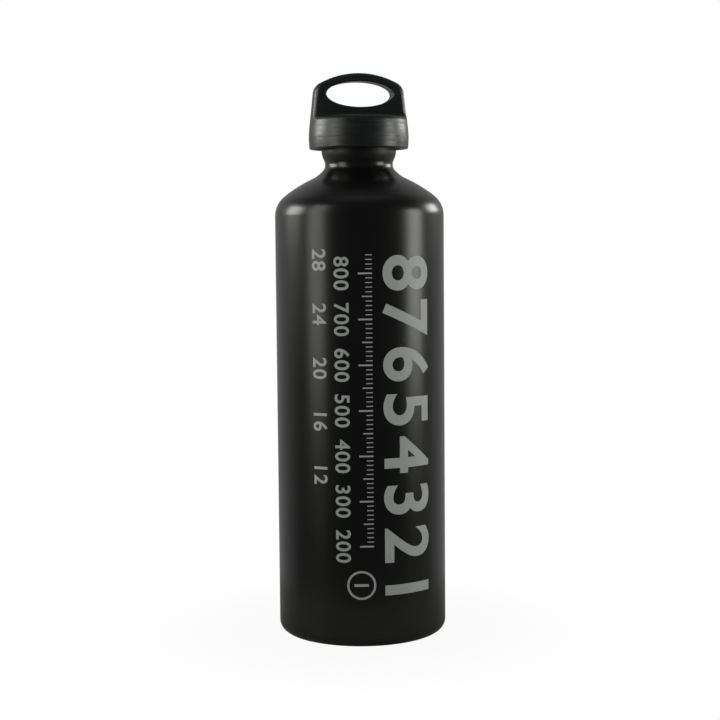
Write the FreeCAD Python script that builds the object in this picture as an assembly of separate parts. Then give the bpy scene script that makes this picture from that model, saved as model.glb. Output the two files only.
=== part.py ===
import FreeCAD, Part
import math
import os

# A one-litre fuel bottle for a camping stove, with a push-and-turn closure. All sizes in millimetres.
# The origin is the centre of the base, +Z is up, and the carrying loop lies along X.

# Bottle: body and base
body_diameter = 80.0
body_height = 198.5
body_wall = 0.9
base_wall = 1.8
base_corner_radius = 5.0
foot_ring_width = 3.0
punt_depth = 4.0

# Bottle: shoulder and neck
shoulder_radius = 11.9
shoulder_slope = 38.7
shoulder_crown = 14.0
neck_sweep = 24.0
neck_sweep_radius = 15.5
neck_bore = 28.0
neck_wall = 2.0
waist_radius = 4.2
collar_step = 1.6
collar_slope = 23.0
collar_radius = 8.0
neck_height = 11.4
rim_edge = 0.5

# Seal between the neck and the stopper
seal_height = 1.6
seal_width = 3.0
seal_clearance = 0.2

# Stopper: flange, stem and drive lugs
thread_depth = 1.1
stem_wall = 2.3
stem_length = 12.0
stem_lead_in = 0.8
flange_thickness = 2.2
flange_edge = 0.5
flange_grip = 2.0
lug_count = 8
lug_height = 2.0
lug_top = 3.4
lug_ramp = 1.8
lug_length = 4.4
lug_margin = 0.8
lug_gap = 0.3

# Wave spring between the stopper and the outer cap
spring_waves = 3
spring_width = 4.0
spring_thickness = 0.4
spring_seat_gap = 0.05
spring_pilot_height = 1.2
spring_clearance = 0.3

# Split ring that keeps the outer cap on the stopper
ring_thickness = 1.2
ring_clearance = 1.0
ring_play = 0.3
ring_groove_depth = 0.8
ring_groove_play = 0.1
ring_split = 6.0

# Outer cap: skirt
ceiling_thickness = 2.6
skirt_clearance = 0.6
skirt_wall = 2.4
skirt_height = 14.9
parting_height = 5.2
upper_draft = 6.2
lower_draft = 3.3
skirt_bulge = 40.0
skirt_lip = 0.7

# Outer cap: carrying loop
loop_height = 20.5
loop_thickness = 9.6
loop_arch_radius = 39.0
loop_corner = 6.2
loop_foot = 2.4
loop_edge = 2.4
loop_sill = 4.7
eye_edge = 0.8
eye_side = 2.4
eye_roof = 0.7

# Radii that follow from the sizes above
body_r = body_diameter / 2
bore_r = neck_bore / 2
waist_r = bore_r + neck_wall
collar_r = waist_r + collar_step
stem_r = bore_r - thread_depth
seal_outer_r = collar_r - seal_clearance
seal_inner_r = seal_outer_r - seal_width
ring_inner_r = collar_r + ring_clearance
flange_r = ring_inner_r + flange_grip
skirt_inner_r = flange_r + skirt_clearance
parting_r = skirt_inner_r + skirt_wall
lug_outer_r = flange_r - lug_margin
lug_inner_r = lug_outer_r - lug_length
spring_outer_r = lug_inner_r - spring_clearance
spring_inner_r = spring_outer_r - spring_width

# Heights that follow from the sizes above
sweep_slope = shoulder_slope - shoulder_crown
waist_slope = sweep_slope + neck_sweep
edge_tilt = math.radians(shoulder_slope)
sweep_tilt = math.radians(sweep_slope)
waist_tilt = math.radians(waist_slope)
collar_tilt = math.radians(collar_slope)
shoulder_end_r = body_r - shoulder_radius * (1 - math.sin(edge_tilt))
shoulder_end_z = body_height + shoulder_radius * math.cos(edge_tilt)
sweep_end_r = waist_r + waist_radius * (1 - math.sin(waist_tilt))
sweep_start_r = sweep_end_r + neck_sweep_radius * (math.sin(waist_tilt) - math.sin(sweep_tilt))
crown_radius = (shoulder_end_r - sweep_start_r) / (math.sin(edge_tilt) - math.sin(sweep_tilt))
crown_r = shoulder_end_r - crown_radius * math.sin(edge_tilt)
crown_z = shoulder_end_z - crown_radius * math.cos(edge_tilt)
sweep_r = sweep_start_r + neck_sweep_radius * math.sin(sweep_tilt)
sweep_z = crown_z + (crown_radius + neck_sweep_radius) * math.cos(sweep_tilt)
waist_z = sweep_z - (neck_sweep_radius - waist_radius) * math.cos(waist_tilt)
collar_run = collar_step - (waist_radius + collar_radius) * (1 - math.cos(collar_tilt))
collar_rise = (waist_radius + collar_radius) * math.sin(collar_tilt) + collar_run / math.tan(collar_tilt)
collar_z = waist_z + collar_rise
rim_z = waist_z + neck_height
flange_z = rim_z + seal_height
flange_top_z = flange_z + flange_thickness
ceiling_z = flange_top_z + 2 * lug_height + lug_gap
shelf_z = ceiling_z + ceiling_thickness
skirt_z = shelf_z - skirt_height
parting_z = skirt_z + parting_height
loop_top_z = shelf_z + loop_height

# Widths of the loop beside and over its eye, each a flat strip between two round edges
loop_pillar = loop_edge + eye_side + eye_edge
loop_web = loop_edge + eye_roof + eye_edge


def at(x, z):
    """A point in the XZ plane, where the profiles are drawn."""
    return FreeCAD.Vector(x, 0, z)


def arc_point(centre, radius, angle):
    """The point of a circle in the XZ plane at an angle from +X, in degrees."""
    turn = math.radians(angle)
    return at(centre[0] + radius * math.cos(turn), centre[1] + radius * math.sin(turn))


def arc(centre, radius, start, end):
    """An arc in the XZ plane between two angles from +X, in degrees."""
    return Part.Arc(
        arc_point(centre, radius, start),
        arc_point(centre, radius, (start + end) / 2),
        arc_point(centre, radius, end),
    ).toShape()


def profile(steps):
    """A closed wire through points and arcs, with straight lines where two of them don't meet."""
    edges = []
    last = None
    for step in steps:
        first = step if isinstance(step, FreeCAD.Vector) else step.firstVertex(True).Point
        if last is not None and (first - last).Length > 1e-6:
            edges.append(Part.LineSegment(last, first).toShape())
        if isinstance(step, FreeCAD.Vector):
            last = step
        else:
            edges.append(step)
            last = step.lastVertex(True).Point
    start = edges[0].firstVertex(True).Point
    if (start - last).Length > 1e-6:
        edges.append(Part.LineSegment(last, start).toShape())
    return Part.Wire(edges)


def revolved(steps):
    """The solid that a half profile sweeps around the Z axis."""
    face = Part.Face(profile(steps))
    return face.revolve(FreeCAD.Vector(0, 0, 0), FreeCAD.Vector(0, 0, 1), 360)


def save(shape, node):
    shape.exportStep(f"parts/{node}.step")


def outer_bottle():
    """The outside of the bottle, from the centre of the base up to the rim."""
    corner = body_r - base_corner_radius
    foot_r = corner - foot_ring_width
    punt_radius = (foot_r**2 + punt_depth**2) / (2 * punt_depth)
    punt_angle = math.degrees(math.asin(foot_r / punt_radius))
    return [
        arc((0, punt_depth - punt_radius), punt_radius, 90, 90 - punt_angle),
        at(corner, 0),
        arc((corner, base_corner_radius), base_corner_radius, -90, 0),
        arc((body_r - shoulder_radius, body_height), shoulder_radius, 0, 90 - shoulder_slope),
        arc((crown_r, crown_z), crown_radius, 90 - shoulder_slope, 90 - sweep_slope),
        arc((sweep_r, sweep_z), neck_sweep_radius, 270 - sweep_slope, 270 - waist_slope),
        arc((waist_r + waist_radius, waist_z), waist_radius, 270 - waist_slope, 180 - collar_slope),
        arc((collar_r - collar_radius, collar_z), collar_radius, -collar_slope, 0),
        arc((collar_r - rim_edge, rim_z - rim_edge), rim_edge, 0, 90),
    ]


def inner_bottle():
    """The inside of the bottle, from the rim down to the centre of the floor."""
    inner_r = body_r - body_wall
    floor_corner = base_corner_radius - body_wall
    floor_r = inner_r - floor_corner
    foot_r = body_r - base_corner_radius - foot_ring_width
    punt_radius = (foot_r**2 + punt_depth**2) / (2 * punt_depth)
    punt_angle = math.degrees(math.asin(foot_r / punt_radius))
    inner_shoulder = shoulder_radius - body_wall
    inner_crown = crown_radius - body_wall
    throat_angle = math.degrees(math.acos((bore_r - crown_r) / inner_crown))
    return [
        at(bore_r + rim_edge, rim_z),
        at(bore_r, rim_z - rim_edge),
        arc((crown_r, crown_z), inner_crown, throat_angle, 90 - shoulder_slope),
        arc((body_r - shoulder_radius, body_height), inner_shoulder, 90 - shoulder_slope, 0),
        arc((floor_r, base_wall + floor_corner), floor_corner, 0, -90),
        arc((0, base_wall + punt_depth - punt_radius), punt_radius, 90 - punt_angle, 90),
    ]


def make_bottle_shell():
    """The seamless bottle: a thin body, a domed base and a thick neck with a plain bore for the thread."""
    return revolved(outer_bottle() + inner_bottle())


def make_seal_ring():
    """The rubber ring, squeezed flat between the rim and the flange, with bulged sides."""
    bulge_r = seal_height / 2
    middle_z = rim_z + seal_height / 2
    return revolved(
        [
            arc((seal_outer_r - bulge_r, middle_z), bulge_r, -90, 90),
            arc((seal_inner_r + bulge_r, middle_z), bulge_r, 90, 270),
        ]
    )


def make_lug(base_z, rise, drive_side, turn):
    """One drive lug, rising or hanging, with an upright driving face on one side and a ramp on the other."""
    upright_y = drive_side * (lug_top + lug_ramp) / 2
    tip_y = upright_y - drive_side * lug_top
    outline = [
        FreeCAD.Vector(lug_inner_r, upright_y, base_z),
        FreeCAD.Vector(lug_inner_r, -upright_y, base_z),
        FreeCAD.Vector(lug_inner_r, tip_y, base_z + rise),
        FreeCAD.Vector(lug_inner_r, upright_y, base_z + rise),
    ]
    face = Part.Face(Part.makePolygon(outline + outline[:1]))
    lug = face.extrude(FreeCAD.Vector(lug_length, 0, 0))
    lug.rotate(FreeCAD.Vector(0, 0, 0), FreeCAD.Vector(0, 0, 1), turn)
    return lug


def make_lugs(base_z, rise, drive_side, offset):
    """The ring of drive lugs, evenly spaced."""
    pitch = 360 / lug_count
    return [make_lug(base_z, rise, drive_side, offset + index * pitch) for index in range(lug_count)]


def make_stopper():
    """The threaded plug: flange, seat for the seal, hollow stem, spring pilot and drive lugs."""
    pilot_r = seal_inner_r - seal_clearance
    stem_bottom = flange_z - stem_length
    hollow_r = stem_r - stem_wall
    spring_pilot_r = spring_inner_r - spring_clearance
    body = revolved(
        [
            at(0, flange_top_z + spring_pilot_height),
            at(spring_pilot_r, flange_top_z + spring_pilot_height),
            at(spring_pilot_r, flange_top_z),
            arc((flange_r - flange_edge, flange_top_z - flange_edge), flange_edge, 90, 0),
            at(flange_r, flange_z),
            at(pilot_r, flange_z),
            at(pilot_r, rim_z + seal_clearance),
            at(stem_r, rim_z + seal_clearance),
            at(stem_r, stem_bottom + stem_lead_in),
            at(stem_r - stem_lead_in, stem_bottom),
            at(hollow_r, stem_bottom),
            at(hollow_r, flange_z),
            at(0, flange_z),
        ]
    )
    return body.fuse(make_lugs(flange_top_z, lug_height, -1, 0)).removeSplitter()


def make_wave_spring():
    """The wave washer: a flat ring bent into even waves, touching the stopper and the cap in turn."""
    room = ceiling_z - flange_top_z - 2 * spring_seat_gap - spring_thickness
    middle_z = flange_top_z + spring_seat_gap + room / 2
    points_per_wave = 12
    count = spring_waves * points_per_wave

    def rim(radius):
        points = []
        for index in range(count):
            turn = 2 * math.pi * index / count
            height = middle_z + room / 2 * math.cos(spring_waves * turn)
            points.append(FreeCAD.Vector(radius * math.cos(turn), radius * math.sin(turn), height))
        curve = Part.BSplineCurve()
        curve.interpolate(points, PeriodicFlag=True)
        return curve.toShape()

    sheet = Part.makeRuledSurface(rim(spring_inner_r), rim(spring_outer_r))
    return sheet.extrude(FreeCAD.Vector(0, 0, spring_thickness))


def make_retaining_ring():
    """The split ring, lying on the lower flank of its groove."""
    outer_r = skirt_inner_r + ring_groove_depth - ring_groove_play
    top_z = flange_z - ring_play
    ring = revolved(
        [
            at(ring_inner_r, top_z - ring_thickness),
            at(outer_r, top_z - ring_thickness),
            at(outer_r, top_z),
            at(ring_inner_r, top_z),
        ]
    )
    split = Part.makeBox(
        ring_split,
        2 * outer_r,
        3 * ring_thickness,
        FreeCAD.Vector(-ring_split / 2, 0, top_z - 2 * ring_thickness),
    )
    return ring.cut(split)


def cone_radius(z):
    """The outer radius of the cap on its upper taper."""
    draft = math.radians(upper_draft)
    bulge_r = parting_r - skirt_bulge * (1 - math.cos(draft))
    bulge_z = parting_z + skirt_bulge * math.sin(draft)
    return bulge_r - (z - bulge_z) * math.tan(draft)


def edges_where(shape, test):
    """The edges whose middle point passes a test."""
    found = []
    for edge in shape.Edges:
        first, last = edge.ParameterRange
        if test(edge.valueAt((first + last) / 2)):
            found.append(edge)
    return found


def make_cap_blank():
    """The outside of the cap before the loop is shaped: two tapers, and a bulge at the mould's parting line."""
    draft = math.radians(lower_draft)
    taper_height = parting_height - skirt_bulge * math.sin(draft)
    lower_r = parting_r - skirt_bulge * (1 - math.cos(draft)) - taper_height * math.tan(draft)
    over_z = loop_top_z + loop_thickness
    blank = revolved(
        [
            at(0, skirt_z),
            arc((lower_r - skirt_lip, skirt_z + skirt_lip), skirt_lip, -90, 0),
            arc((parting_r - skirt_bulge, parting_z), skirt_bulge, -lower_draft, upper_draft),
            at(cone_radius(over_z), over_z),
            at(0, over_z),
        ]
    )
    # The seam of the round faces goes to the back, away from the ends of the loop
    blank.rotate(FreeCAD.Vector(0, 0, 0), FreeCAD.Vector(0, 0, 1), 90)
    return blank


def make_front_outline(reach, under_z):
    """All that lies under the arch of the loop, seen from the front."""
    side_angle = math.degrees(math.acos(reach / loop_arch_radius))
    face = Part.Face(
        profile(
            [
                at(-reach, under_z),
                at(reach, under_z),
                arc((0, loop_top_z - loop_arch_radius), loop_arch_radius, side_angle, 180 - side_angle),
            ]
        )
    )
    face.translate(FreeCAD.Vector(0, -reach, 0))
    return face.extrude(FreeCAD.Vector(0, 2 * reach, 0))


def make_side_outline(reach, under_z):
    """The flat shelf and the upright plate on it, seen from the side, with a hollow curve at the plate's foot."""
    half = loop_thickness / 2
    over_z = loop_top_z + loop_thickness
    foot_y = half + loop_foot
    foot_z = shelf_z + loop_foot
    face = Part.Face(
        profile(
            [
                at(-reach, under_z),
                at(reach, under_z),
                at(reach, shelf_z),
                arc((foot_y, foot_z), loop_foot, 270, 180),
                at(half, over_z),
                at(-half, over_z),
                arc((-foot_y, foot_z), loop_foot, 0, -90),
                at(-reach, shelf_z),
            ]
        )
    )
    face.rotate(FreeCAD.Vector(0, 0, 0), FreeCAD.Vector(0, 0, 1), 90)
    face.translate(FreeCAD.Vector(-reach, 0, 0))
    return face.extrude(FreeCAD.Vector(2 * reach, 0, 0))


def make_loop_blank():
    """The skirt and the loop in one, with one round edge that runs along the shelf, up the loop and over it."""
    half = loop_thickness / 2
    near = 0.01
    reach = parting_r + loop_edge
    under_z = skirt_z - loop_edge
    body = make_cap_blank().common(make_front_outline(reach, under_z))
    body = body.common(make_side_outline(reach, under_z)).Solids[0]
    foot_top = shelf_z + loop_foot
    corners = edges_where(body, lambda p: abs(p.y) < near and p.z > foot_top and abs(p.x) > half)
    body = body.makeFillet(loop_corner, corners)

    def on_rim(p):
        on_foot = abs(p.x) < near and p.z < foot_top + near and abs(p.y) < half + loop_foot + near
        return p.z > shelf_z - near and abs(p.y) > near and not on_foot

    return body.makeFillet(loop_edge, edges_where(body, on_rim))


def cut_eye(body):
    """The body with the oval eye through its loop, rounded at both mouths."""
    half = loop_thickness / 2
    near = 0.01
    eye_bottom = shelf_z + loop_sill
    eye_top = loop_top_z - loop_web
    eye_z = (eye_bottom + eye_top) / 2
    eye_half_width = cone_radius(eye_z) - loop_pillar
    ellipse = Part.Ellipse(at(eye_half_width, eye_z), at(0, eye_top), at(0, eye_z))
    eye = Part.Face(Part.Wire(ellipse.toShape()))
    eye.translate(FreeCAD.Vector(0, -loop_thickness, 0))
    body = body.cut(eye.extrude(FreeCAD.Vector(0, 2 * loop_thickness, 0)))

    def on_mouth(p):
        across = (p.x / eye_half_width) ** 2 + ((p.z - eye_z) / (eye_top - eye_z)) ** 2
        return abs(abs(p.y) - half) < near and abs(across - 1) < near

    return body.makeFillet(eye_edge, edges_where(body, on_mouth))


def make_cap_hollow():
    """The space inside the skirt, with the groove for the split ring and a lead-in at the mouth."""
    groove_r = skirt_inner_r + ring_groove_depth
    groove_bottom = flange_z - ring_play - ring_thickness
    groove_top = flange_z - ring_play + ring_groove_play
    return revolved(
        [
            at(0, skirt_z),
            at(skirt_inner_r + skirt_lip, skirt_z),
            at(skirt_inner_r, skirt_z + skirt_lip),
            at(skirt_inner_r, groove_bottom),
            at(groove_r, groove_bottom),
            at(groove_r, groove_top),
            at(skirt_inner_r, groove_top),
            at(skirt_inner_r, ceiling_z),
            at(0, ceiling_z),
        ]
    )


def make_loop_cap():
    """The outer cap: skirt and loop in one moulding, with drive lugs under the ceiling."""
    body = cut_eye(make_loop_blank()).cut(make_cap_hollow())
    return body.fuse(make_lugs(ceiling_z, -lug_height, 1, 180 / lug_count)).removeSplitter()


os.makedirs("parts", exist_ok=True)
save(make_bottle_shell(), "bottle_shell")
save(make_seal_ring(), "seal_ring")
save(make_stopper(), "stopper")
save(make_wave_spring(), "wave_spring")
save(make_retaining_ring(), "retaining_ring")
save(make_loop_cap(), "loop_cap")
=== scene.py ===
import math

import bmesh
import bpy
from mathutils import Matrix, Vector


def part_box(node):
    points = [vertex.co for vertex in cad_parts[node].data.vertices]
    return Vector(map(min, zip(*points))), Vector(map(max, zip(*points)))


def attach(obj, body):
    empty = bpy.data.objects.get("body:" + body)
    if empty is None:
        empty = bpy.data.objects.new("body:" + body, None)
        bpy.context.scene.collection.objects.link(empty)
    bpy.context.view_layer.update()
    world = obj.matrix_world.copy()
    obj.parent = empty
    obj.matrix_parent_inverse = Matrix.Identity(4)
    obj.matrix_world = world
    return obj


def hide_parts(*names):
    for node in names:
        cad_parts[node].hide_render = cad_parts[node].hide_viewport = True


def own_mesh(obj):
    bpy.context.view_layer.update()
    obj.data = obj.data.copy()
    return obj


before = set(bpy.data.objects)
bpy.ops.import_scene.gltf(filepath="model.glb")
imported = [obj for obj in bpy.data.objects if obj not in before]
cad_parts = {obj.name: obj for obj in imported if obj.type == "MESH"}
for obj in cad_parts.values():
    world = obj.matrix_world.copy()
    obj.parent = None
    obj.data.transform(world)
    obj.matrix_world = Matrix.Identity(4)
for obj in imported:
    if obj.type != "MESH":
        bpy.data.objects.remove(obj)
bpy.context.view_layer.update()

# Bottle: one slug of aluminium, drawn into a thin seamless can, then spun in at the shoulder and turned at
# the neck. The outside is powder coated black, while the rim, the bore and the inside stay bare metal.
mm = 0.001
bottle_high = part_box("bottle_shell")[1]
ink_height = 0.04 * mm
body_r = bottle_high.x - ink_height
rim_z = bottle_high.z
body_top_z = 198.5 * mm
body_wall = 0.9 * mm
body_rows = 8
base_wall = 1.8 * mm
base_corner = 5 * mm
foot_width = 3 * mm
punt_depth = 4 * mm
shoulder_r = 11.9 * mm
shoulder_slope = 38.7
sweep_slope = 24.7
waist_slope = 48.7
sweep_r = 15.5 * mm
waist_r = 16 * mm
waist_z = rim_z - 11.4 * mm
waist_arc_r = 4.2 * mm
collar_r = 17.6 * mm
collar_z = rim_z - 5.15 * mm
collar_slope = 23
collar_arc_r = 8 * mm
bore_r = 14 * mm
rim_edge = 0.5 * mm
spin_steps = 192
coat_black = (0.0016, 0.0016, 0.0017, 1)
coat_grey = (0.0028, 0.0028, 0.0029, 1)
collar_dulling = 0.2
dulling_start_z = waist_z + 0.6 * mm
dulling_end_z = waist_z + 3 * mm
metal_light = (0.80, 0.81, 0.82, 1)
metal_dark = (0.66, 0.67, 0.68, 1)


def arc_point(centre, radius, turn):
    """The point (r, z) of an arc at an angle from the outward direction, in degrees."""
    around = math.radians(turn)
    return centre[0] + radius * math.cos(around), centre[1] + radius * math.sin(around)


def arc(centre, radius, start, end, steps):
    """Points (r, z) along an arc between two such angles."""
    return [arc_point(centre, radius, start + (end - start) * step / steps) for step in range(steps + 1)]


def spin_outline(bm, points, material_index):
    """Turns an outline of points (r, z) once around the Z axis, and gives the new faces one material."""
    before = set(bm.faces)
    verts = [bm.verts.new((r, 0, z)) for r, z in points]
    edges = [bm.edges.new(pair) for pair in zip(verts, verts[1:])]
    bmesh.ops.spin(
        bm, geom=verts + edges, cent=(0, 0, 0), axis=(0, 0, 1),
        angle=2 * math.pi, steps=spin_steps, use_merge=True,
    )
    for face in set(bm.faces) - before:
        face.material_index = material_index


def close_mesh(bm, reach=0.001 * mm):
    """Merges the seams and poles, and points the faces outwards."""
    bmesh.ops.remove_doubles(bm, verts=bm.verts[:], dist=reach)
    bmesh.ops.dissolve_degenerate(bm, edges=bm.edges[:], dist=reach)
    bmesh.ops.recalc_face_normals(bm, faces=bm.faces[:])


def make_piece(bm, name, materials, sharp_angle=32):
    """The bmesh as a smooth object at the origin, with edges kept where the surface turns sharply."""
    mesh = bpy.data.meshes.new(name)
    bm.to_mesh(mesh)
    bm.free()
    for material in materials:
        mesh.materials.append(material)
    mesh.polygons.foreach_set("use_smooth", [True] * len(mesh.polygons))
    mesh.set_sharp_from_angle(angle=math.radians(sharp_angle))
    piece = bpy.data.objects.new(name, mesh)
    bpy.context.scene.collection.objects.link(piece)
    return piece


def make_grain_group():
    """A node group with the fine bumps and the slow patches of a sprayed or moulded surface."""
    group = bpy.data.node_groups.new("surface_grain", "ShaderNodeTree")
    group.interface.new_socket("Position", in_out="INPUT", socket_type="NodeSocketVector")
    for name in ("Grain", "Patches"):
        group.interface.new_socket(name, in_out="INPUT", socket_type="NodeSocketFloat")
    for name in ("Height", "Tone"):
        group.interface.new_socket(name, in_out="OUTPUT", socket_type="NodeSocketFloat")
    source = group.nodes.new("NodeGroupInput")
    result = group.nodes.new("NodeGroupOutput")
    for scale, detail, output in (("Grain", 3, "Height"), ("Patches", 4, "Tone")):
        noise = group.nodes.new("ShaderNodeTexNoise")
        noise.inputs["Detail"].default_value = detail
        group.links.new(source.outputs["Position"], noise.inputs["Vector"])
        group.links.new(source.outputs[scale], noise.inputs["Scale"])
        group.links.new(noise.outputs["Fac"], result.inputs[output])
    return group


grain_group = make_grain_group()


def new_material(name):
    """A material, its node tree, and a socket with the place on the piece."""
    material = bpy.data.materials.new(name)
    material.use_nodes = True
    tree = material.node_tree
    return material, tree, tree.nodes.new("ShaderNodeTexCoord").outputs["Object"]


def finish_surface(tree, tone, height, colours, roughness, depth):
    """Colour and roughness, each between two ends, from one value of the surface, bumps from another."""
    nodes, links = tree.nodes, tree.links
    shader = nodes["Principled BSDF"]
    colour = nodes.new("ShaderNodeMix")
    colour.data_type = "RGBA"
    colour.inputs["A"].default_value, colour.inputs["B"].default_value = colours
    links.new(tone, colour.inputs["Factor"])
    links.new(colour.outputs["Result"], shader.inputs["Base Color"])
    gloss = nodes.new("ShaderNodeMapRange")
    gloss.inputs["To Min"].default_value, gloss.inputs["To Max"].default_value = roughness
    links.new(tone, gloss.inputs["Value"])
    links.new(gloss.outputs["Result"], shader.inputs["Roughness"])
    bump = nodes.new("ShaderNodeBump")
    bump.inputs["Strength"].default_value = 1
    bump.inputs["Distance"].default_value = depth
    links.new(height, bump.inputs["Height"])
    links.new(bump.outputs["Normal"], shader.inputs["Normal"])


def grained_material(name, colours, roughness, grain_size, grain_depth, patch_size, ior=1.5):
    """A sprayed, moulded or printed surface over a fine grain."""
    material, tree, place = new_material(name)
    tree.nodes["Principled BSDF"].inputs["IOR"].default_value = ior
    grain = tree.nodes.new("ShaderNodeGroup")
    grain.node_tree = grain_group
    grain.inputs["Grain"].default_value = 1 / grain_size
    grain.inputs["Patches"].default_value = 1 / patch_size
    tree.links.new(place, grain.inputs["Position"])
    finish_surface(tree, grain.outputs["Tone"], grain.outputs["Height"], colours, roughness, grain_depth)
    return material


def turned_metal(name, colours, roughness, line_size, line_depth):
    """Bare metal with the fine rings that a lathe or a roller leaves around the axis."""
    material, tree, place = new_material(name)
    nodes, links = tree.nodes, tree.links
    nodes["Principled BSDF"].inputs["Metallic"].default_value = 1
    parts = nodes.new("ShaderNodeSeparateXYZ")
    links.new(place, parts.inputs["Vector"])
    flat = nodes.new("ShaderNodeCombineXYZ")
    links.new(parts.outputs["X"], flat.inputs["X"])
    links.new(parts.outputs["Y"], flat.inputs["Y"])
    radius = nodes.new("ShaderNodeVectorMath")
    radius.operation = "LENGTH"
    links.new(flat.outputs["Vector"], radius.inputs[0])
    rings = nodes.new("ShaderNodeCombineXYZ")
    links.new(radius.outputs["Value"], rings.inputs["X"])
    links.new(parts.outputs["Z"], rings.inputs["Z"])
    lines = nodes.new("ShaderNodeTexNoise")
    lines.inputs["Scale"].default_value = 1 / line_size
    lines.inputs["Detail"].default_value = 2
    links.new(rings.outputs["Vector"], lines.inputs["Vector"])
    finish_surface(tree, lines.outputs["Fac"], lines.outputs["Fac"], colours, roughness, line_depth)
    return material


def soft_step(tree, source, low, high, low_value, high_value):
    """A soft step between two values, as a source goes from low to high."""
    step = tree.nodes.new("ShaderNodeMapRange")
    step.interpolation_type = "SMOOTHSTEP"
    step.inputs["From Min"].default_value = low
    step.inputs["From Max"].default_value = high
    step.inputs["To Min"].default_value = low_value
    step.inputs["To Max"].default_value = high_value
    tree.links.new(source, step.inputs["Value"])
    return step.outputs["Result"]


def combine(tree, operation, *values):
    """A sum, a product or the like of sockets and plain numbers."""
    node = tree.nodes.new("ShaderNodeMath")
    node.operation = operation
    for value, socket in zip(values, node.inputs):
        if isinstance(value, bpy.types.NodeSocket):
            tree.links.new(value, socket)
        else:
            socket.default_value = value
    return node.outputs["Value"]


def dull(tree, extra):
    """Adds a value of the surface to a material's roughness."""
    roughness = tree.nodes["Principled BSDF"].inputs["Roughness"]
    tree.links.new(combine(tree, "ADD", roughness.links[0].from_socket, extra), roughness)


punt_r = body_r - base_corner - foot_width
punt_arc_r = (punt_r**2 + punt_depth**2) / (2 * punt_depth)
punt_turn = math.degrees(math.asin(punt_r / punt_arc_r))
shoulder_centre = (body_r - shoulder_r, body_top_z)
waist_centre = (waist_r + waist_arc_r, waist_z)
sweep_centre = arc_point(waist_centre, sweep_r - waist_arc_r, 90 - waist_slope)
sweep_start = arc_point(sweep_centre, sweep_r, 270 - sweep_slope)
shoulder_end = arc_point(shoulder_centre, shoulder_r, 90 - shoulder_slope)
edge_tilt, sweep_tilt = math.radians(shoulder_slope), math.radians(sweep_slope)
crown_r = (shoulder_end[0] - sweep_start[0]) / (math.sin(edge_tilt) - math.sin(sweep_tilt))
crown_centre = arc_point(shoulder_end, crown_r, 270 - shoulder_slope)
bottle_outside = (
    arc((0, punt_depth - punt_arc_r), punt_arc_r, 90, 90 - punt_turn, steps=10)
    + arc((body_r - base_corner, base_corner), base_corner, -90, 0, steps=12)
    + [(body_r, body_top_z * row / body_rows) for row in range(1, body_rows)]
    + arc(shoulder_centre, shoulder_r, 0, 90 - shoulder_slope, steps=20)
    + arc(crown_centre, crown_r, 90 - shoulder_slope, 90 - sweep_slope, steps=12)[1:-1]
    + arc(sweep_centre, sweep_r, 270 - sweep_slope, 270 - waist_slope, steps=10)[:-1]
    + arc(waist_centre, waist_arc_r, 270 - waist_slope, 180 - collar_slope, steps=18)
    + arc((collar_r - collar_arc_r, collar_z), collar_arc_r, -collar_slope, 0, steps=8)
    + arc((collar_r - rim_edge, rim_z - rim_edge), rim_edge, 0, 90, steps=6)
)
inner_r = body_r - body_wall
floor_corner = base_corner - body_wall
inner_crown_r = crown_r - body_wall
throat_turn = math.degrees(math.acos((bore_r - crown_centre[0]) / inner_crown_r))
bottle_inside = (
    [bottle_outside[-1], (bore_r + rim_edge, rim_z), (bore_r, rim_z - rim_edge)]
    + arc(crown_centre, inner_crown_r, throat_turn, 90 - shoulder_slope, steps=10)
    + arc(shoulder_centre, shoulder_r - body_wall, 90 - shoulder_slope, 0, steps=10)[1:]
    + arc((inner_r - floor_corner, base_wall + floor_corner), floor_corner, 0, -90, steps=8)
    + arc((0, base_wall + punt_depth - punt_arc_r), punt_arc_r, 90 - punt_turn, 90, steps=8)
)
black_coat = grained_material(
    "black_coat", (coat_black, coat_grey), roughness=(0.26, 0.30),
    grain_size=0.5 * mm, grain_depth=0.006 * mm, patch_size=25 * mm,
)
tree = black_coat.node_tree
coat_place = tree.nodes.new("ShaderNodeSeparateXYZ")
tree.links.new(tree.nodes["Texture Coordinate"].outputs["Object"], coat_place.inputs["Vector"])
dull(tree, soft_step(tree, coat_place.outputs["Z"], dulling_start_z, dulling_end_z, 0, collar_dulling))
bare_aluminium = turned_metal(
    "bare_aluminium", (metal_dark, metal_light), roughness=(0.22, 0.38),
    line_size=0.3 * mm, line_depth=0.006 * mm,
)
bm = bmesh.new()
spin_outline(bm, bottle_outside, 0)
spin_outline(bm, bottle_inside, 1)
close_mesh(bm)
bottle = make_piece(bm, "bottle", [black_coat, bare_aluminium])
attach(bottle, "bottle")
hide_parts("bottle_shell")

# Neck thread: a coarse right-hand ridge that is cut inside the thick neck, in the same bare metal.
# The stopper's thread runs in the space between its turns.
thread_lead = 4 * mm
thread_base = 1.7 * mm
thread_crest = 0.8 * mm
thread_steps = 72
thread_root_cover = 0.15 * mm
neck_thread_crest_r = 13.1 * mm
neck_thread_low_z = 225.2 * mm
neck_thread_turns = 1.75


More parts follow.
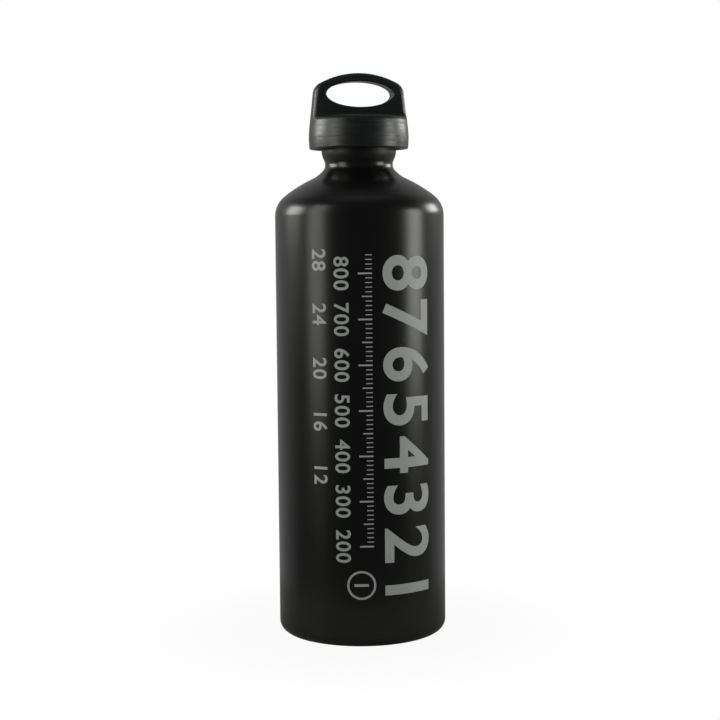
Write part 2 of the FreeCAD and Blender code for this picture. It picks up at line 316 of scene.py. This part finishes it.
def thread_ridge(root_r, crest_r, low_z, turns):
    """A screw thread of one ridge with sloping flanks, which runs out into its wall at both ends."""
    bm = bmesh.new()
    corners = (
        (root_r, -thread_base / 2), (crest_r, -thread_crest / 2),
        (crest_r, thread_crest / 2), (root_r, thread_base / 2),
    )
    first = [bm.verts.new((r, 0, low_z + z)) for r, z in corners]
    edges = [bm.edges.new(pair) for pair in zip(first, first[1:] + first[:1])]
    steps = round(thread_steps * turns)
    spun = bmesh.ops.spin(
        bm, geom=first + edges, cent=(0, 0, 0), axis=(0, 0, 1),
        dvec=(0, 0, thread_lead * turns / steps), angle=2 * math.pi * turns, steps=steps,
    )
    last = [item for item in spun["geom_last"] if isinstance(item, bmesh.types.BMVert)]
    for vert in first + last:
        around = Vector((vert.co.x, vert.co.y, 0))
        vert.co += around.normalized() * (root_r - around.length)
    bmesh.ops.holes_fill(bm, edges=bm.edges[:], sides=4)
    close_mesh(bm)
    return bm


bm = thread_ridge(bore_r + thread_root_cover, neck_thread_crest_r, neck_thread_low_z, neck_thread_turns)
neck_thread = make_piece(bm, "neck_thread", [bare_aluminium])
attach(neck_thread, "bottle")

# Print: a fill scale in grey ink, screen printed on the coat. Large figures count tenths of a litre and lie
# on their sides, beside a fine ruler, small figures for two measures, and a ring with the bottle's litre.
view_turn = -12
print_r = body_r + 0.035 * mm
ink_root = 0.03 * mm
ink_grey = (0.25, 0.262, 0.255, 1)
ink_pale = (0.29, 0.302, 0.295, 1)
wrap_step = 1.5 * mm
wrap_reach = 0.0005 * mm
print_merge = 0.002 * mm
figure_to_font = 0.69
figure_detail = 0.005
figure_spacing = 1.12
figure_steps = 8
fill_floor_z = 6 * mm
tenth_litre = 20.8 * mm
tenth_in_millilitres = 100
fluid_ounce = 6.16 * mm
large_figures = range(1, 9)
large_height = 23.5 * mm
large_weight = 0.028
large_turn = 33
small_height = 6.6 * mm
small_weight = 0.026
litre_turn = -12.3
litre_marks = range(2, 9)
ounce_turn = -27.8
ounce_marks = range(12, 29, 4)
ruler_turn = 7.8
ruler_part = tenth_litre / 10
ruler_first, ruler_last = 20, 84
ruler_ticks = ((10, 6.4 * mm, 0.75 * mm), (5, 4.6 * mm, 0.6 * mm), (1, 3.0 * mm, 0.45 * mm))
ring_turn = -0.5
ring_z = 29.6 * mm
ring_r = 6.7 * mm
ring_stroke = 1.0 * mm
ring_steps = 72
ring_figure_height = 6.4 * mm
grey_ink = grained_material(
    "grey_ink", (ink_grey, ink_pale), roughness=(0.42, 0.52),
    grain_size=0.3 * mm, grain_depth=0.003 * mm, patch_size=8 * mm,
)


def thicken_strokes(bm, width):
    """Moves the outline of flat figures outwards, with its corners kept sharp, and fills it again."""
    outward = {vert: [] for vert in bm.verts}
    across = []
    for edge in bm.edges:
        if not edge.is_boundary:
            across.append(edge)
            continue
        along = (edge.verts[1].co - edge.verts[0].co).normalized()
        inside = edge.link_faces[0].calc_center_median() - edge.verts[0].co
        for vert in edge.verts:
            outward[vert].append((along * inside.dot(along) - inside).normalized())
    bmesh.ops.delete(bm, geom=across + bm.faces[:], context="EDGES_FACES")
    for vert in bm.verts:
        one, other = outward[vert]
        vert.co += (one + other) * width / (1 + one.dot(other))
    bmesh.ops.triangle_fill(bm, edges=bm.edges[:], use_beauty=True, normal=(0, 0, 1))


def add_figures(bm, words, height, weight, turn, level):
    """Adds figures that lie on their sides, tops to the right, as a flat sheet around their middle."""
    curve = bpy.data.curves.new("figures", "FONT")
    curve.body = words
    curve.size = height / figure_to_font
    curve.space_character = figure_spacing
    curve.resolution_u = figure_steps
    flat = bpy.data.objects.new("figures", curve)
    bpy.context.scene.collection.objects.link(flat)
    bpy.context.view_layer.update()
    mesh = bpy.data.meshes.new_from_object(flat.evaluated_get(bpy.context.evaluated_depsgraph_get()))
    sheet = bmesh.new()
    sheet.from_mesh(mesh)
    bmesh.ops.remove_doubles(sheet, verts=sheet.verts[:], dist=figure_detail * height)
    thicken_strokes(sheet, weight * height)
    sheet.to_mesh(mesh)
    sheet.free()
    along = [vert.co.x for vert in mesh.vertices]
    middle = Vector(((min(along) + max(along)) / 2, height / 2, 0))
    place = Matrix.Translation((math.radians(turn) * print_r, level, 0))
    mesh.transform(place @ Matrix.Rotation(-math.pi / 2, 4, "Z") @ Matrix.Translation(-middle))
    bm.from_mesh(mesh)
    bpy.data.objects.remove(flat)
    bpy.data.curves.remove(curve)
    bpy.data.meshes.remove(mesh)


def add_tick(bm, length, width, turn, level):
    """Adds a level stroke whose right end lies at an angle from the front."""
    right = math.radians(turn) * print_r
    place = Matrix.Translation((right - length / 2, level, 0)) @ Matrix.Diagonal((length, width, 1, 1))
    bmesh.ops.create_grid(bm, x_segments=1, y_segments=1, size=0.5, matrix=place)


def print_on_body(bm, name):
    """Cuts a flat sheet of print into strips, gives it the ink's thickness and lays it round the body."""
    bmesh.ops.remove_doubles(bm, verts=bm.verts[:], dist=print_merge)
    reach = [vert.co.x for vert in bm.verts]
    cut = min(reach) + wrap_step
    while cut < max(reach):
        whole = bm.verts[:] + bm.edges[:] + bm.faces[:]
        bmesh.ops.bisect_plane(bm, geom=whole, dist=wrap_reach, plane_co=(cut, 0, 0), plane_no=(1, 0, 0))
        cut += wrap_step
    for face in bm.faces:
        if face.normal.z < 0:
            face.normal_flip()
    raised = bmesh.ops.extrude_face_region(bm, geom=bm.faces[:])
    top = [item for item in raised["geom"] if isinstance(item, bmesh.types.BMVert)]
    bmesh.ops.translate(bm, verts=top, vec=(0, 0, ink_root + ink_height))
    for vert in bm.verts:
        turn = math.radians(view_turn - 90) + vert.co.x / print_r
        radius = body_r - ink_root + vert.co.z
        vert.co = (radius * math.cos(turn), radius * math.sin(turn), vert.co.y)
    bmesh.ops.recalc_face_normals(bm, faces=bm.faces[:])
    piece = make_piece(bm, name, [grey_ink])
    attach(piece, "bottle")


bm = bmesh.new()
for tenth in large_figures:
    level = fill_floor_z + tenth * tenth_litre
    add_figures(bm, str(tenth), large_height, large_weight, large_turn, level)
print_on_body(bm, "print_tenths")

bm = bmesh.new()
for tenth in litre_marks:
    level = fill_floor_z + tenth * tenth_litre
    add_figures(bm, str(tenth * tenth_in_millilitres), small_height, small_weight, litre_turn, level)
print_on_body(bm, "print_millilitres")

bm = bmesh.new()
for ounces in ounce_marks:
    level = fill_floor_z + ounces * fluid_ounce
    add_figures(bm, str(ounces), small_height, small_weight, ounce_turn, level)
print_on_body(bm, "print_ounces")

bm = bmesh.new()
for mark in range(ruler_first, ruler_last + 1):
    length, width = next((long, wide) for every, long, wide in ruler_ticks if mark % every == 0)
    add_tick(bm, length, width, ruler_turn, fill_floor_z + mark * ruler_part)
print_on_body(bm, "print_ruler")

bm = bmesh.new()
add_figures(bm, "1", ring_figure_height, small_weight, ring_turn, ring_z)
ring_middle = Matrix.Translation((math.radians(ring_turn) * print_r, ring_z, 0))
rims = [
    bmesh.ops.create_circle(bm, segments=ring_steps, radius=radius, matrix=ring_middle)["verts"]
    for radius in (ring_r, ring_r - ring_stroke)
]
rim_edges = list({edge for rim in rims for vert in rim for edge in vert.link_edges})
bmesh.ops.bridge_loops(bm, edges=rim_edges)
print_on_body(bm, "print_ring")

# Seal: a moulded ring of fuel-proof rubber, squeezed flat between the rim of the neck and the stopper's
# flange. It stays on the stopper when the bottle is opened.
rubber_black = (0.012, 0.012, 0.012, 1)
rubber_grey = (0.022, 0.022, 0.022, 1)


def dress(node, material):
    """Gives a solid of the frame its finished material, and leaves its mesh as it is."""
    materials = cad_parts[node].data.materials
    materials.clear()
    materials.append(material)


rubber = grained_material(
    "seal_rubber", (rubber_black, rubber_grey), roughness=(0.55, 0.72),
    grain_size=0.4 * mm, grain_depth=0.01 * mm, patch_size=6 * mm,
)
dress("seal_ring", rubber)

# Stopper: the inner half of the closure, moulded in black plastic, with a flange, drive lugs and a hollow
# stem. Its thread is moulded with it, and runs between the turns of the neck's own.
stopper_black = (0.016, 0.016, 0.017, 1)
stopper_grey = (0.026, 0.026, 0.027, 1)
stem_r = 12.9 * mm
stem_thread_crest_r = 13.8 * mm
stem_thread_low_z = neck_thread_low_z + thread_lead / 2
stem_thread_turns = 1.6
stopper_plastic = grained_material(
    "stopper_plastic", (stopper_black, stopper_grey), roughness=(0.38, 0.48),
    grain_size=0.35 * mm, grain_depth=0.006 * mm, patch_size=9 * mm,
)
dress("stopper", stopper_plastic)
bm = thread_ridge(stem_r - thread_root_cover, stem_thread_crest_r, stem_thread_low_z, stem_thread_turns)
stem_thread = make_piece(bm, "stem_thread", [stopper_plastic])
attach(stem_thread, "stopper")

# Wave spring: a ring of flat stainless strip, rolled into three waves, which holds the outer cap up.
# It lies loose between the stopper and the cap, and flattens as the cap is pressed.
spring_low, spring_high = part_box("wave_spring")
spring_outer_r = 15.1 * mm
spring_inner_r = 11.1 * mm
spring_thickness = 0.4 * mm
spring_waves = 3
spring_height = spring_high.z - spring_low.z
wave_middle_z = (spring_low.z + spring_high.z - spring_thickness) / 2
wave_height = (spring_height - spring_thickness) / 2
steel_dark = (0.42, 0.43, 0.44, 1)
steel_light = (0.58, 0.59, 0.60, 1)
spring_steel = turned_metal(
    "spring_steel", (steel_dark, steel_light), roughness=(0.24, 0.40),
    line_size=0.25 * mm, line_depth=0.004 * mm,
)
strip = [
    (spring_inner_r, 0), (spring_outer_r, 0), (spring_outer_r, spring_thickness),
    (spring_inner_r, spring_thickness), (spring_inner_r, 0),
]
bm = bmesh.new()
spin_outline(bm, strip, 0)
close_mesh(bm)
for vert in bm.verts:
    turn = math.atan2(vert.co.y, vert.co.x)
    vert.co.z += wave_middle_z + wave_height * math.cos(spring_waves * turn)
wave_spring = make_piece(bm, "wave_spring_strip", [spring_steel])
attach(wave_spring, "spring")
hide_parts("wave_spring")
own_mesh(wave_spring)

# Retaining ring: a split ring of the same steel, snapped into a groove in the skirt, under the stopper's
# flange. It keeps the outer cap on the stopper.
dress("retaining_ring", spring_steel)

# Outer cap: skirt and carrying loop in one moulding of tough black plastic, with the fine grain of its
# mould and the level scuffs of long use. The two halves of the mould met at the widest line of the skirt
# and left a thin ridge there.
cap_black = (0.0016, 0.0030, 0.0038, 1)
cap_grey = (0.0034, 0.0052, 0.0062, 1)
scuff_length = 14 * mm
scuff_width = 0.9 * mm
scuff_detail = 3
scuff_range = (0.35, 0.65)
scuff_dulling = 0.06
scuff_depth = 4
parting_r = 23.6 * mm
parting_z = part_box("loop_cap")[0].z + 5.2 * mm
ridge_r = 0.09 * mm
ridge_sharp_angle = 80
cap_plastic = grained_material(
    "cap_plastic", (cap_black, cap_grey), roughness=(0.36, 0.43),
    grain_size=0.45 * mm, grain_depth=0.008 * mm, patch_size=12 * mm, ior=1.6,
)
tree = cap_plastic.node_tree
stretched = tree.nodes.new("ShaderNodeMapping")
stretched.inputs["Scale"].default_value = (1 / scuff_length, 1 / scuff_length, 1 / scuff_width)
tree.links.new(tree.nodes["Texture Coordinate"].outputs["Object"], stretched.inputs["Vector"])
scuffs = tree.nodes.new("ShaderNodeTexNoise")
scuffs.inputs["Scale"].default_value = 1
scuffs.inputs["Detail"].default_value = scuff_detail
tree.links.new(stretched.outputs["Vector"], scuffs.inputs["Vector"])
scuffed = tree.nodes.new("ShaderNodeMapRange")
scuffed.inputs["From Min"].default_value, scuffed.inputs["From Max"].default_value = scuff_range
scuffed.inputs["To Min"].default_value = -scuff_dulling
scuffed.inputs["To Max"].default_value = scuff_dulling
tree.links.new(scuffs.outputs["Fac"], scuffed.inputs["Value"])
dull(tree, scuffed.outputs["Result"])
bump_height = tree.nodes["Bump"].inputs["Height"]
grain_height = bump_height.links[0].from_socket
tree.links.new(combine(tree, "MULTIPLY_ADD", scuffs.outputs["Fac"], scuff_depth, grain_height), bump_height)
dress("loop_cap", cap_plastic)
bm = bmesh.new()
spin_outline(bm, arc((parting_r - ridge_r / 2, parting_z), ridge_r, 0, 360, steps=8), 0)
close_mesh(bm)
parting_ridge = make_piece(bm, "parting_ridge", [cap_plastic], ridge_sharp_angle)
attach(parting_ridge, "cap")

# Table: a round sheet of pale paper under the bottle. It takes the bottle's shadow near the base, and fades
# into the white of the backdrop towards its edge.
table_r = 0.13
table_steps = 128
table_white = (0.28, 0.28, 0.28, 1)
table_glow = 0.94
table_paper, tree, place = new_material("table_white")
nodes, links = tree.nodes, tree.links
nodes.remove(nodes["Principled BSDF"])
paper = nodes.new("ShaderNodeBsdfDiffuse")
paper.inputs["Color"].default_value = table_white
glow = nodes.new("ShaderNodeEmission")
glow.inputs["Strength"].default_value = 1
radius = nodes.new("ShaderNodeVectorMath")
radius.operation = "LENGTH"
links.new(place, radius.inputs[0])
fade = soft_step(tree, radius.outputs["Value"], body_r, table_r, table_glow, 1)
ray = nodes.new("ShaderNodeLightPath")
cover = nodes.new("ShaderNodeMixShader")
links.new(combine(tree, "MULTIPLY", ray.outputs["Is Camera Ray"], fade), cover.inputs["Fac"])
links.new(paper.outputs["BSDF"], cover.inputs[1])
links.new(glow.outputs["Emission"], cover.inputs[2])
links.new(cover.outputs["Shader"], nodes["Material Output"].inputs["Surface"])
bm = bmesh.new()
bmesh.ops.create_circle(bm, cap_ends=True, segments=table_steps, radius=table_r)
table = make_piece(bm, "table", [table_paper])

# Lamps: two upright soft boxes beside the bottle and two more behind it, each a lit sheet of cloth that
# faces the bottle and that the camera doesn't see.
camera_turn = view_turn - 90
lamp_distance = 0.9
lamp_white = (1, 1, 0.92)


def soft_box(name, turn, width, low_z, high_z, radiance):
    """An upright soft box that faces the bottle, at an angle from the camera, positive to its right."""
    around = math.radians(camera_turn + turn)
    height = high_z - low_z
    lamp = bpy.data.lights.new(name, "AREA")
    lamp.shape = "RECTANGLE"
    lamp.size = width
    lamp.size_y = height
    lamp.energy = radiance * math.pi * width * height
    lamp.color = lamp_white
    box = bpy.data.objects.new(name, lamp)
    box.visible_camera = False
    outward = Vector((math.cos(around), math.sin(around), 0))
    middle = outward * lamp_distance + Vector((0, 0, (low_z + high_z) / 2))
    box.matrix_world = Matrix.Translation(middle) @ outward.to_track_quat("Z", "Y").to_matrix().to_4x4()
    bpy.context.scene.collection.objects.link(box)


soft_box("soft_box_left", turn=-60, width=0.36, low_z=0.04, high_z=0.95, radiance=3.0)
soft_box("soft_box_left_back", turn=-100, width=0.42, low_z=0.26, high_z=0.66, radiance=8.4)
soft_box("soft_box_right", turn=78, width=0.35, low_z=0.06, high_z=0.5, radiance=6.0)
soft_box("soft_box_right_back", turn=120, width=0.34, low_z=0.32, high_z=0.58, radiance=9.4)

# Room: a white backdrop behind the bottle, a dim ceiling above it and a dark room in front, which keeps the
# coat black between its highlights. The camera sees white all around.
backdrop_light = 0.32
ceiling_light = 0.2
room_light = 0.06
fill_light = 0.5
room = bpy.data.worlds.new("studio")
room.use_nodes = True
bpy.context.scene.world = room
tree = room.node_tree
nodes, links = tree.nodes, tree.links
heading = nodes.new("ShaderNodeTexCoord")
away = nodes.new("ShaderNodeVectorMath")
away.operation = "DOT_PRODUCT"
camera_side = math.radians(camera_turn)
away.inputs[1].default_value = (-math.cos(camera_side), -math.sin(camera_side), 0)
links.new(heading.outputs["Generated"], away.inputs[0])
upward = nodes.new("ShaderNodeSeparateXYZ")
links.new(heading.outputs["Generated"], upward.inputs["Vector"])
behind, above = away.outputs["Value"], upward.outputs["Z"]
backdrop = combine(
    tree, "MULTIPLY",
    soft_step(tree, behind, low=-0.05, high=0.6, low_value=0, high_value=1),
    soft_step(tree, above, low=0.6, high=0.98, low_value=backdrop_light, high_value=0),
)
ceiling = combine(
    tree, "MULTIPLY_ADD",
    soft_step(tree, above, low=0.8, high=1, low_value=0, high_value=ceiling_light),
    soft_step(tree, behind, low=0, high=0.4, low_value=1, high_value=0),
    room_light,
)
ray = nodes.new("ShaderNodeLightPath")
mirrored = combine(tree, "MAXIMUM", ray.outputs["Is Glossy Ray"], ray.outputs["Is Transmission Ray"])
lit = nodes.new("ShaderNodeMix")
lit.inputs["A"].default_value = fill_light
links.new(mirrored, lit.inputs["Factor"])
links.new(combine(tree, "ADD", backdrop, ceiling), lit.inputs["B"])
seen = nodes.new("ShaderNodeMix")
seen.inputs["B"].default_value = 1
links.new(ray.outputs["Is Camera Ray"], seen.inputs["Factor"])
links.new(lit.outputs["Result"], seen.inputs["A"])
background = nodes["Background"]
background.inputs["Color"].default_value = (1, 1, 1, 1)
links.new(seen.outputs["Result"], background.inputs["Strength"])

# Camera: level with the shoulder, a little to the left of the loop's front, with a long lens.
# It looks slightly down, and leans by half a degree.
camera_place = Vector((-0.1545, -0.727, 0.1923))
camera_heading = view_turn + 0.024
camera_drop = 4.8
camera_roll = -0.49
lens_length = 78
sensor_width = 36
lens = bpy.data.cameras.new("camera")
lens.lens = lens_length
lens.sensor_width = sensor_width
camera = bpy.data.objects.new("camera", lens)
camera.matrix_world = (
    Matrix.Translation(camera_place)
    @ Matrix.Rotation(math.radians(camera_heading), 4, "Z")
    @ Matrix.Rotation(math.radians(90 - camera_drop), 4, "X")
    @ Matrix.Rotation(math.radians(camera_roll), 4, "Z")
)
bpy.context.scene.collection.objects.link(camera)
bpy.context.scene.camera = camera
bpy.context.scene.view_settings.view_transform = "Standard"
